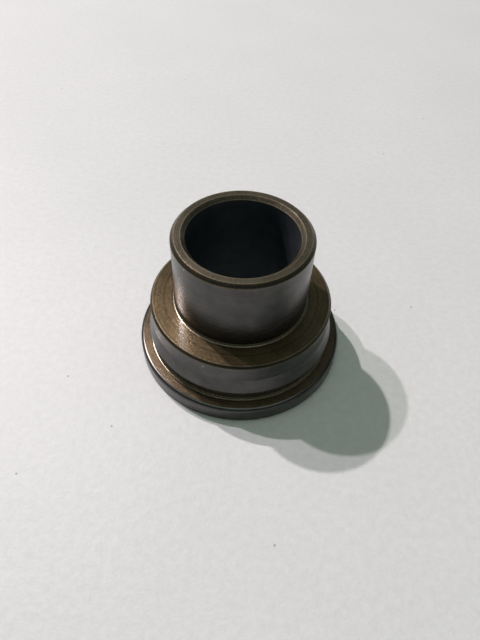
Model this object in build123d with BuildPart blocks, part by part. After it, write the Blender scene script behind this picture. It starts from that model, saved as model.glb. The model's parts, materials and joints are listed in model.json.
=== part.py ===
from build123d import *
import os

# Flanged bronze sleeve bushing: one ring of bronze in three steps on a common axis.
# From the base up it is a flange, a collar and a slim nose, with one plain bore all the way through.
# The flange seats on the face of a housing, the collar locates in it, and the nose carries on as a sleeve.
# The collar is straight above, widens a little towards its foot, and stands on a short recessed neck.
# Millimetres, +Z up the axis, origin at the centre of the flange's underside.

# Diameters
bore_diameter = 32.0
nose_diameter = 40.0
collar_diameter = 55.4
taper_foot_diameter = 57.8
neck_diameter = 56.0
flange_diameter = 64.4

# Heights above the flange's underside
flange_height = 5.7
taper_foot_height = 10.0
taper_top_height = 14.6
shoulder_height = 20.9
overall_height = 45.0

# Broken edges and the hollow corners under each step
nose_chamfer = 1.0
collar_chamfer = 0.75
bore_chamfer = 1.1
flange_top_round = 1.1
flange_bottom_chamfer = 0.5
nose_root_fillet = 0.8
neck_root_fillet = 0.8

bore_radius = bore_diameter / 2
nose_radius = nose_diameter / 2
collar_radius = collar_diameter / 2
taper_foot_radius = taper_foot_diameter / 2
neck_radius = neck_diameter / 2
flange_radius = flange_diameter / 2
# The taper's foot turns in to the neck at 45 degrees
neck_top_height = taper_foot_height - (taper_foot_radius - neck_radius)


def ring_edge(part, radius, height):
    """The round edge of the part that has this radius and lies at this height."""
    at_height = part.edges().filter_by(GeomType.CIRCLE).filter_by_position(Axis.Z, height, height)
    return at_height.sort_by(lambda edge: abs(edge.radius - radius))[0]


with BuildPart() as bushing:
    # Half of the section through the axis, turned once round it
    with BuildSketch(Plane.XZ):
        with BuildLine():
            Polyline(
                (bore_radius, 0),
                (flange_radius, 0),
                (flange_radius, flange_height),
                (neck_radius, flange_height),
                (neck_radius, neck_top_height),
                (taper_foot_radius, taper_foot_height),
                (collar_radius, taper_top_height),
                (collar_radius, shoulder_height),
                (nose_radius, shoulder_height),
                (nose_radius, overall_height),
                (bore_radius, overall_height),
                close=True,
            )
        make_face()
    revolve(axis=Axis.Z)

    # The two inside corners, at the foot of the neck and at the foot of the nose
    fillet(ring_edge(bushing, neck_radius, flange_height), neck_root_fillet)
    fillet(ring_edge(bushing, nose_radius, shoulder_height), nose_root_fillet)

    # Lead-in chamfers: the nose enters first, then the collar, and a shaft enters the bore at either end
    chamfer(ring_edge(bushing, nose_radius, overall_height), nose_chamfer)
    chamfer(ring_edge(bushing, collar_radius, shoulder_height), collar_chamfer)
    chamfer(ring_edge(bushing, bore_radius, overall_height), bore_chamfer)
    chamfer(ring_edge(bushing, bore_radius, 0), bore_chamfer)

    # The flange's rim, rounded above and lightly broken below
    fillet(ring_edge(bushing, flange_radius, flange_height), flange_top_round)
    chamfer(ring_edge(bushing, flange_radius, 0), flange_bottom_chamfer)

bushing.part.label = "flanged_bushing"

os.makedirs("parts", exist_ok=True)
export_step(bushing.part, "parts/flanged_bushing.step")
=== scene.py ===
"""Looks of the flanged bronze sleeve bushing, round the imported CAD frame. Metres, +Z up the axis."""

import json
import math

import bpy
from mathutils import Matrix, Quaternion, Vector


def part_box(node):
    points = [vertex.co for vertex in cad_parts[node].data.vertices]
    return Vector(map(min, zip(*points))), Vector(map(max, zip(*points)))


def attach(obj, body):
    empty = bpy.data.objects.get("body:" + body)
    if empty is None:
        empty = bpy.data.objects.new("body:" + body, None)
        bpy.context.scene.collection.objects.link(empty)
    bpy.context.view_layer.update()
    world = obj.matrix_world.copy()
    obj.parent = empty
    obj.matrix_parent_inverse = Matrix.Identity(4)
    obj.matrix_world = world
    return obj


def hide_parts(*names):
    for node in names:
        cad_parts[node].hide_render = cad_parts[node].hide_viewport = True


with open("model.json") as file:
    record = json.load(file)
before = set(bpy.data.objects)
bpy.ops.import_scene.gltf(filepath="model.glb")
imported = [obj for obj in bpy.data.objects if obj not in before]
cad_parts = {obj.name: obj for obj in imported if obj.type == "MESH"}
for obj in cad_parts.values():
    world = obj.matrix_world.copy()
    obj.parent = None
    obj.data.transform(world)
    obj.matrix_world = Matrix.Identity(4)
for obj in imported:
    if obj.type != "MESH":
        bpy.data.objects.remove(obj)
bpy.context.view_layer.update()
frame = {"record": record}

CAD_NODE = "flanged_bushing"
MM = 0.001

# ---------------------------------------------------------------- sizes, from the frame and its record
box_low, box_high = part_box(CAD_NODE)
mounts = {mount["name"]: mount for mount in frame["record"]["mounts"]}
bore_radius = mounts["bore"]["dims"]["r_mm"]
nose_radius = mounts["nose_seat"]["dims"]["r_mm"]
collar_radius = mounts["collar_seat"]["dims"]["r_mm"]
taper_top = mounts["collar_seat"]["pos_m"][2] / MM - mounts["collar_seat"]["dims"]["length_mm"] / 2
flange_radius = (box_high.x - box_low.x) / 2 / MM
flange_height = mounts["flange_seat"]["pos_m"][2] / MM
shoulder_height = mounts["shoulder"]["pos_m"][2] / MM
overall_height = box_high.z / MM

# Broken edges and hollow corners, as in the CAD part, in millimetres
NOSE_CHAMFER = 1.0
COLLAR_CHAMFER = 0.75
BORE_CHAMFER = 1.1
FLANGE_TOP_ROUND = 1.1
FLANGE_BOTTOM_CHAMFER = 0.5
NOSE_ROOT_FILLET = 0.8
NECK_ROOT_FILLET = 0.8
# The collar's lower half widens to a foot, which turns in to a recessed neck at 45 degrees
TAPER_FOOT_RADIUS = 28.9
TAPER_FOOT_HEIGHT = 10.0
NECK_RADIUS = 28.0
# Fine break that handling leaves on each turned edge, the softer turn where the taper starts,
# and the crisper one at its foot
EDGE_BREAK = 0.07
TAPER_BLEND = 0.4
FOOT_BREAK = 0.1

# ---------------------------------------------------------------- the turned ring
# Vertices in each ring round the axis
AROUND = 512
# Rings of vertices along a straight run are at most this far apart, and a shorter run than this gets none
LONGEST_STEP = 1.2
SHORTEST_RUN = 0.2
# Each rounding turns by at most this much from ring to ring, in at least this many steps
ARC_STEP = math.radians(9)
FEWEST_ARC_STEPS = 3
# How far an edge's wear reaches from it
WEAR_REACH = 0.28

# Zones of the surface, in the order of the materials list
SEAT, SHOULDER, NOSE_END, WALL, BORE, ROOT, NECK, LEAD_IN = range(8)


def profile_corners():
    """Section corners, from the bore's foot out, up and back.

    Each is radius, height, rounding, the zone of the rounding and the zone of the run after it.
    """
    edge = EDGE_BREAK
    neck_top = TAPER_FOOT_HEIGHT - (TAPER_FOOT_RADIUS - NECK_RADIUS)
    return [
        (bore_radius + BORE_CHAMFER, 0, edge, SEAT, SEAT),
        (flange_radius - FLANGE_BOTTOM_CHAMFER, 0, edge, SEAT, WALL),
        (flange_radius, FLANGE_BOTTOM_CHAMFER, edge, WALL, WALL),
        (flange_radius, flange_height, FLANGE_TOP_ROUND, WALL, SEAT),
        (NECK_RADIUS, flange_height, NECK_ROOT_FILLET, ROOT, NECK),
        (NECK_RADIUS, neck_top, FOOT_BREAK, NECK, NECK),
        (TAPER_FOOT_RADIUS, TAPER_FOOT_HEIGHT, FOOT_BREAK, WALL, WALL),
        (collar_radius, taper_top, TAPER_BLEND, WALL, WALL),
        (collar_radius, shoulder_height - COLLAR_CHAMFER, edge, WALL, LEAD_IN),
        (collar_radius - COLLAR_CHAMFER, shoulder_height, edge, LEAD_IN, SHOULDER),
        (nose_radius, shoulder_height, NOSE_ROOT_FILLET, ROOT, WALL),
        (nose_radius, overall_height - NOSE_CHAMFER, edge, WALL, LEAD_IN),
        (nose_radius - NOSE_CHAMFER, overall_height, edge, LEAD_IN, NOSE_END),
        (bore_radius + BORE_CHAMFER, overall_height, edge, NOSE_END, NOSE_END),
        (bore_radius, overall_height - BORE_CHAMFER, edge, BORE, BORE),
        (bore_radius, BORE_CHAMFER, edge, BORE, SEAT),
    ]


def section():
    """Points of the closed section as place, normal and wear, with the zone of the run after each."""
    corners = profile_corners()
    arcs = []
    for i, (r, z, rounding, arc_zone, run_zone) in enumerate(corners):
        here = Vector((r, z))
        into = (here - Vector(corners[i - 1][:2])).normalized()
        out = (Vector(corners[(i + 1) % len(corners)][:2]) - here).normalized()
        turn = into.cross(out)
        angle = math.atan2(turn, into.dot(out))
        side = 1 if angle > 0 else -1
        normal = Vector((into.y, -into.x))
        centre = here - into * rounding * math.tan(abs(angle) / 2) - normal * side * rounding
        steps = max(FEWEST_ARC_STEPS, math.ceil(abs(angle) / ARC_STEP))
        arc = []
        for k in range(steps + 1):
            turned = normal.copy()
            turned.rotate(Matrix.Rotation(angle * k / steps, 2))
            arc.append((centre + turned * side * rounding, turned))
        worn = 1.0 if rounding == EDGE_BREAK else 0.0
        arcs.append((arc, worn, arc_zone, run_zone))

    points, zones = [], []
    for i, (arc, worn, arc_zone, run_zone) in enumerate(arcs):
        for point, normal in arc:
            points.append((point, normal, worn))
            zones.append(arc_zone)
        zones[-1] = run_zone
        next_arc, next_worn = arcs[(i + 1) % len(arcs)][:2]
        start, end = arc[-1][0], next_arc[0][0]
        normal = arc[-1][1]
        length = (end - start).length
        for s in _stops(length):
            fade = max(worn * _fade(s), next_worn * _fade(length - s))
            points.append((start.lerp(end, s / length), normal, fade))
            zones.append(run_zone)
    return points, zones


def _fade(distance):
    return max(0.0, 1 - distance / WEAR_REACH)


def _stops(length):
    """Places along a straight run that get a ring of vertices: near both ends, and evenly between."""
    if length < 3 * WEAR_REACH:
        return [length / 2] if length > SHORTEST_RUN else []
    near = [WEAR_REACH / 2, WEAR_REACH]
    inner = length - 2 * WEAR_REACH
    count = math.ceil(inner / LONGEST_STEP)
    even = [WEAR_REACH + inner * k / count for k in range(1, count)]
    return near + even + [length - s for s in reversed(near)]


def lathe(name, materials):
    """The section turned once round the axis, with its own normals and a wear value on each vertex."""
    points, zones = section()
    count = len(points)
    verts, normals, wear = [], [], []
    for j in range(AROUND):
        a = 2 * math.pi * j / AROUND
        c, s = math.cos(a), math.sin(a)
        for point, normal, worn in points:
            verts.append((point.x * c * MM, point.x * s * MM, point.y * MM))
            normals.append((normal.x * c, normal.x * s, normal.y))
            wear.append(worn)
    faces, slots = [], []
    for j in range(AROUND):
        a, b = j * count, (j + 1) % AROUND * count
        for i in range(count):
            k = (i + 1) % count
            faces.append((a + i, b + i, b + k, a + k))
            slots.append(zones[i])
    mesh = bpy.data.meshes.new(name)
    mesh.from_pydata(verts, [], faces)
    for material in materials:
        mesh.materials.append(material)
    mesh.polygons.foreach_set("material_index", slots)
    mesh.polygons.foreach_set("use_smooth", [True] * len(faces))
    mesh.attributes.new("wear", "FLOAT", "POINT").data.foreach_set("value", wear)
    mesh.normals_split_custom_set_from_vertices(normals)
    mesh.update()
    ring = bpy.data.objects.new(name, mesh)
    bpy.context.scene.collection.objects.link(ring)
    return ring


# ---------------------------------------------------------------- materials
class Tree:
    """A short way to write shader nodes."""

    def __init__(self, owner):
        owner.use_nodes = True
        self.tree = owner.node_tree
        self.tree.nodes.clear()

    def node(self, kind, **settings):
        made = self.tree.nodes.new(kind)
        for key, value in settings.items():
            setattr(made, key, value)
        return made

    def feed(self, socket, value):
        if isinstance(value, bpy.types.NodeSocket):
            self.tree.links.new(value, socket)
        elif value is not None:
            socket.default_value = value

    def math(self, operation, a, b=None):
        made = self.node("ShaderNodeMath", operation=operation)
        for socket, value in zip(made.inputs, (a, b)):
            self.feed(socket, value)
        return made.outputs[0]

    def vector_math(self, operation, a, b=None):
        made = self.node("ShaderNodeVectorMath", operation=operation)
        for socket, value in zip(made.inputs, (a, b)):
            self.feed(socket, value)
        return made.outputs[0]

    def swing(self, value, amount):
        """A value that swings about 0.5, made to swing about zero by an amount."""
        return self.math("MULTIPLY", self.math("SUBTRACT", value, 0.5), amount)

    def noise(self, vector, scale, detail=2.0, roughness=0.5):
        made = self.node("ShaderNodeTexNoise")
        self.feed(made.inputs["Vector"], vector)
        made.inputs["Scale"].default_value = scale
        made.inputs["Detail"].default_value = detail
        made.inputs["Roughness"].default_value = roughness
        return made.outputs["Fac"]

    def cells(self, vector, scale, dimensions="3D"):
        made = self.node("ShaderNodeTexVoronoi", voronoi_dimensions=dimensions)
        self.feed(made.inputs["Vector"], vector)
        made.inputs["Scale"].default_value = scale
        return made

    def remap(self, value, low, high, to_low=0.0, to_high=1.0):
        made = self.node("ShaderNodeMapRange")
        for socket, given in zip(made.inputs, (value, low, high, to_low, to_high)):
            self.feed(socket, given)
        return made.outputs[0]

    def mix(self, factor, a, b):
        made = self.node("ShaderNodeMix", data_type="RGBA")
        self.feed(made.inputs["Factor"], factor)
        self.feed(made.inputs[6], a)
        self.feed(made.inputs[7], b)
        return made.outputs[2]

    def place(self):
        """Object coordinates in millimetres."""
        metres = self.node("ShaderNodeTexCoord").outputs["Object"]
        return self.vector_math("MULTIPLY", metres, (1 / MM, 1 / MM, 1 / MM))

    def turned(self, place):
        """Radius and height of a place in millimetres, and its angle round the axis in radians."""
        parts = self.node("ShaderNodeSeparateXYZ")
        self.feed(parts.inputs[0], place)
        x, y, z = parts.outputs
        squares = self.math("ADD", self.math("MULTIPLY", x, x), self.math("MULTIPLY", y, y))
        return self.math("SQRT", squares), z, self.math("ARCTAN2", y, x)

    def round_the_axis(self):
        """Direction of the tool marks, round the Z axis."""
        return self.node("ShaderNodeTangent", direction_type="RADIAL", axis="Z").outputs[0]

    def bump(self, height, strength, distance, normal=None):
        made = self.node("ShaderNodeBump")
        made.inputs["Strength"].default_value = strength
        made.inputs["Distance"].default_value = distance
        self.feed(made.inputs["Height"], height)
        if normal is not None:
            self.feed(made.inputs["Normal"], normal)
        return made.outputs[0]

    def vector(self, x, y, z):
        made = self.node("ShaderNodeCombineXYZ")
        for socket, value in zip(made.inputs, (x, y, z)):
            self.feed(socket, value)
        return made.outputs[0]

    def surface(self, **inputs):
        shader = self.node("ShaderNodeBsdfPrincipled")
        for name, value in inputs.items():
            self.feed(shader.inputs[name.replace("_", " ")], value)
        output = self.node("ShaderNodeOutputMaterial")
        self.tree.links.new(shader.outputs[0], output.inputs[0])


# How far each grain's own facet leans, as a part of a unit normal
TILT = 0.11
# Grains and pores of the open bronze, pores of the smooth walls, and patches of dust, per millimetre
GRAINS_PER_MM = 3.4
FACE_PORES_PER_MM = 3.2
WALL_PORES_PER_MM = 6.0
DUST_PER_MM = 0.16
# Tool marks: rings on the faces, and lines and broad bands round the walls
RINGS_PER_MM = 2.6
LINES_PER_MM = 5.0
BANDS_PER_MM = 0.45
# Depth of the pores and of the tool marks, in metres
PORE_DEPTH = 0.00008
RING_DEPTH = 0.00004
LINE_DEPTH = 0.00003
# Tool marks run round the axis, so gloss spreads across them: a quarter turn from the tangent
ACROSS_MARKS = 0.25
WALL_SPREAD = 0.5
FILM_ROUGHNESS = 0.17
FACE_METALLIC = 0.8

OPEN_PORE = (0.020, 0.016, 0.011, 1)
WALL_PORE = (0.012, 0.011, 0.010, 1)
FACE_WEAR = (0.36, 0.27, 0.17, 1)
WALL_WEAR = (0.26, 0.21, 0.15, 1)
DUST = (0.55, 0.53, 0.50, 1)


def shade(tint, factor):
    """A tint made darker or lighter, as a shader colour."""
    return tuple(c * factor for c in tint) + (1,)


def wear_of(t):
    """Wear of the nearest edge, from the mesh."""
    return t.node("ShaderNodeAttribute", attribute_name="wear").outputs["Fac"]


def face_bronze(name, tint, rough, spread, grain=1.0, film=0.6):
    """Turned faces: brown bronze with open sparkling grain, concentric tool marks and a thin film of oil."""
    material = bpy.data.materials.new(name)
    t = Tree(material)
    place = t.place()
    radius, height, _ = t.turned(place)
    grains = t.cells(place, GRAINS_PER_MM)
    fleck = t.remap(grains.outputs["Color"], 0.15, 0.95)
    sparkle = t.math("MULTIPLY", t.remap(fleck, 0.62, 0.92), grain)
    pores = t.noise(place, FACE_PORES_PER_MM, detail=3.0, roughness=0.65)
    mottle = t.noise(place, 0.16, detail=3.0)
    rings = t.noise(t.vector(radius, 0.0, height), RINGS_PER_MM, detail=3.0)
    colour = t.mix(t.remap(mottle, 0.3, 0.7), shade(tint, 0.70), shade(tint, 1.20))
    colour = t.mix(t.math("MULTIPLY", sparkle, 0.6), colour, shade(tint, 2.4))
    colour = t.mix(t.remap(pores, 0.56, 0.66, 0.0, 0.40), colour, OPEN_PORE)
    colour = t.mix(t.remap(rings, 0.36, 0.52, 0.42, 0.0), colour, OPEN_PORE)
    worn = t.math("MULTIPLY", wear_of(t), t.remap(pores, 0.35, 0.65, 0.15, 0.8))
    colour = t.mix(worn, colour, FACE_WEAR)
    roughness = t.math("ADD", rough, t.swing(fleck, -0.10))
    roughness = t.math("ADD", roughness, t.swing(rings, 0.10))
    roughness = t.math("SUBTRACT", roughness, t.math("MULTIPLY", worn, 0.10))
    lean = TILT * grain
    off_centre = t.vector_math("SUBTRACT", grains.outputs["Color"], (0.5, 0.5, 0.5))
    tilt = t.vector_math("MULTIPLY", off_centre, (lean, lean, lean))
    facets = t.vector_math("ADD", t.node("ShaderNodeNewGeometry").outputs["Normal"], tilt)
    relief = t.bump(pores, 0.35, PORE_DEPTH, t.vector_math("NORMALIZE", facets))
    relief = t.bump(rings, 0.45, RING_DEPTH, relief)
    t.surface(
        Base_Color=colour,
        Metallic=FACE_METALLIC,
        Roughness=roughness,
        Normal=relief,
        Anisotropic=spread,
        Anisotropic_Rotation=ACROSS_MARKS,
        Tangent=t.round_the_axis(),
        Coat_Weight=film,
        Coat_Roughness=FILM_ROUGHNESS,
    )
    return material


def wall_bronze(name, tint, rough, metallic=1.0):
    """Round walls: smooth oil-dark bronze with fine tool marks running round, and a few grains of dust."""
    material = bpy.data.materials.new(name)
    t = Tree(material)
    place = t.place()
    radius, height, angle = t.turned(place)
    line_place = t.vector(t.math("MULTIPLY", angle, 0.8), t.math("MULTIPLY", height, LINES_PER_MM), radius)
    lines = t.noise(line_place, 1.0, detail=3.0)
    band_place = t.vector(0.0, t.math("MULTIPLY", height, BANDS_PER_MM), t.math("MULTIPLY", angle, 0.25))
    bands = t.noise(band_place, 1.0)
    cloud = t.noise(place, 0.22, detail=3.0)
    pores = t.noise(place, WALL_PORES_PER_MM, detail=2.0, roughness=0.6)
    colour = t.mix(t.remap(cloud, 0.3, 0.7), shade(tint, 0.8), shade(tint, 1.25))
    colour = t.mix(t.remap(lines, 0.4, 0.75, 0.0, 0.35), colour, shade(tint, 1.9))
    colour = t.mix(t.remap(pores, 0.68, 0.76, 0.0, 0.5), colour, WALL_PORE)
    lint = t.cells(place, DUST_PER_MM)
    few = t.math("GREATER_THAN", lint.outputs["Color"], 0.66)
    dust = t.math("MULTIPLY", few, t.remap(lint.outputs["Distance"], 0.028, 0.05, 0.7, 0.0))
    colour = t.mix(dust, colour, DUST)
    worn = t.math("MULTIPLY", wear_of(t), t.remap(pores, 0.35, 0.65, 0.1, 0.6))
    colour = t.mix(worn, colour, WALL_WEAR)
    roughness = t.math("ADD", rough, t.swing(lines, 0.14))
    roughness = t.math("ADD", roughness, t.swing(bands, 0.10))
    relief = t.bump(lines, 0.12, LINE_DEPTH)
    relief = t.bump(pores, 0.10, LINE_DEPTH, relief)
    t.surface(
        Base_Color=colour,
        Metallic=metallic,
        Roughness=roughness,
        Normal=relief,
        Anisotropic=WALL_SPREAD,
        Anisotropic_Rotation=ACROSS_MARKS,
        Tangent=t.round_the_axis(),
    )
    return material


# One for each zone: name, tint, roughness, then spread across the marks, grain and film, or metallic
materials = [
    face_bronze("bronze_flange_face", (0.094, 0.064, 0.035), 0.37, 0.45),
    face_bronze("bronze_shoulder_face", (0.112, 0.076, 0.037), 0.37, 0.30),
    face_bronze("bronze_nose_end", (0.088, 0.073, 0.050), 0.50, 0.20, film=0.5),
    wall_bronze("bronze_oiled_wall", (0.080, 0.077, 0.074), 0.28),
    # Bluer and less metallic than the walls: painted light, the cool room light in the bore, on the same
    # oiled bronze as the walls
    wall_bronze("bronze_oiled_bore_painted_cool_light", (0.056, 0.064, 0.078), 0.34, 0.3),
    # Glossier than the faces, and its paler, brighter tint is a painted highlight along the bright ring in
    # each fillet
    face_bronze("bronze_hollow_corner_painted_highlight", (0.14, 0.11, 0.07), 0.28, 0.3, 0.2),
    face_bronze("bronze_neck", (0.10, 0.082, 0.056), 0.36, 0.2, 0.3),
    # Tint about half the faces': painted shade on the chamfers, which are the same bronze as the faces
    face_bronze("bronze_lead_in_painted_shade", (0.052, 0.044, 0.034), 0.40, 0.2, 0.6, 0.2),
]
ring = lathe("bushing_ring", materials)
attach(ring, "root")
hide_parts(CAD_NODE)


# ---------------------------------------------------------------- floor
# Texture of the paper, in counts per millimetre, and the depth of its fibres in metres
FIBRES_PER_MM = 0.45
CLOUDS_PER_MM = 0.02
SPECKS_PER_MM = 0.06
FIBRE_DEPTH = 0.0003
PAPER_GREY = (0.80, 0.80, 0.80, 1)
PAPER_PALE = (0.835, 0.83, 0.835, 1)
PAPER_FIBRE = (0.64, 0.64, 0.635, 1)
PAPER_SPECK = (0.24, 0.21, 0.18, 1)
PAPER_ROUGHNESS = 0.50


def paper(name):
    """Plain pale paper with soft fibres and a few dark specks."""
    material = bpy.data.materials.new(name)
    t = Tree(material)
    place = t.place()
    fibre = t.noise(place, FIBRES_PER_MM, detail=6.0, roughness=0.75)
    cloud = t.noise(place, CLOUDS_PER_MM, detail=2.0)
    colour = t.mix(t.remap(cloud, 0.3, 0.7), PAPER_GREY, PAPER_PALE)
    colour = t.mix(t.remap(fibre, 0.30, 0.62, 0.42, 0.0), colour, PAPER_FIBRE)
    speck = t.cells(place, SPECKS_PER_MM, "2D")
    few = t.math("GREATER_THAN", speck.outputs["Color"], 0.79)
    dot = t.math("MULTIPLY", few, t.remap(speck.outputs["Distance"], 0.014, 0.026, 0.6, 0.0))
    colour = t.mix(dot, colour, PAPER_SPECK)
    relief = t.bump(fibre, 0.45, FIBRE_DEPTH)
    t.surface(Base_Color=colour, Roughness=PAPER_ROUGHNESS, Normal=relief)
    return material


# Half the floor's side, in metres
FLOOR_HALF = 2.0
floor_mesh = bpy.data.meshes.new("floor")
floor_corners = [(-FLOOR_HALF, -FLOOR_HALF, 0), (FLOOR_HALF, -FLOOR_HALF, 0)]
floor_corners += [(FLOOR_HALF, FLOOR_HALF, 0), (-FLOOR_HALF, FLOOR_HALF, 0)]
floor_mesh.from_pydata(floor_corners, [], [(0, 1, 2, 3)])
floor_mesh.materials.append(paper("white_paper"))
floor = bpy.data.objects.new("floor", floor_mesh)
bpy.context.scene.collection.objects.link(floor)


# ---------------------------------------------------------------- lights
LAMP_DISTANCE = 2.0
LAMP_RADIUS = 0.021


def lamp(name, azimuth, elevation, strength, colour):
    """A small round studio lamp, aimed at the object from a direction given in degrees."""
    data = bpy.data.lights.new(name, "AREA")
    data.shape = "DISK"
    data.size = 2 * LAMP_RADIUS
    data.energy = strength * math.pi * LAMP_DISTANCE**2
    data.color = colour
    a, e = math.radians(azimuth), math.radians(elevation)
    towards = Vector((math.cos(a) * math.cos(e), math.sin(a) * math.cos(e), math.sin(e)))
    made = bpy.data.objects.new(name, data)
    made.location = towards * LAMP_DISTANCE
    made.rotation_mode = "QUATERNION"
    made.rotation_quaternion = towards.to_track_quat("Z", "Y")
    bpy.context.scene.collection.objects.link(made)


lamp("lamp_left", 146.1, 49.5, 1.17, (1.0, 0.90, 0.98))
lamp("lamp_back", 134.1, 50.5, 1.58, (1.0, 0.93, 0.93))

# Tones of the room: its walls, the darker side the viewer stands on, a pale ceiling and a pale horizon
ROOM_WALL = (0.102, 0.122, 0.1055, 1)
ROOM_NEAR_SIDE = (0.051, 0.061, 0.053, 1)
ROOM_CEILING = (0.784, 0.94, 0.812, 1)
ROOM_HORIZON = (0.49, 0.5875, 0.5075, 1)

world = bpy.data.worlds.new("room")
bpy.context.scene.world = world
w = Tree(world)
direction = w.node("ShaderNodeSeparateXYZ")
w.feed(direction.inputs[0], w.node("ShaderNodeTexCoord").outputs["Generated"])
_, north, up = direction.outputs
ceiling = w.remap(up, 0.86, 0.95)
horizon = w.remap(up, 0.02, 0.22, 1.0, 0.0)
near_side = w.remap(north, -0.15, -0.75)
room = w.mix(near_side, ROOM_WALL, ROOM_NEAR_SIDE)
room = w.mix(ceiling, room, ROOM_CEILING)
room = w.mix(horizon, room, ROOM_HORIZON)
background = w.node("ShaderNodeBackground")
w.feed(background.inputs[0], room)
w.tree.links.new(background.outputs[0], w.node("ShaderNodeOutputWorld").inputs[0])

# ---------------------------------------------------------------- camera
# Focal length and sensor in millimetres, places in metres, roll in degrees
LENS = 28.97
SENSOR = 36
CAMERA_PLACE = (0, -0.10721, 0.13712)
CAMERA_AIM = (-0.00002, -0.00977, 0.020)
CAMERA_ROLL = 2.13

camera_data = bpy.data.cameras.new("camera")
camera_data.lens = LENS
camera_data.sensor_width = SENSOR
camera = bpy.data.objects.new("camera", camera_data)
camera.location = CAMERA_PLACE
camera.rotation_mode = "QUATERNION"
level = (Vector(CAMERA_AIM) - camera.location).to_track_quat("-Z", "Y")
camera.rotation_quaternion = level @ Quaternion((0, 0, 1), math.radians(CAMERA_ROLL))
bpy.context.scene.collection.objects.link(camera)
bpy.context.scene.camera = camera
bpy.context.scene.view_settings.view_transform = "Standard"
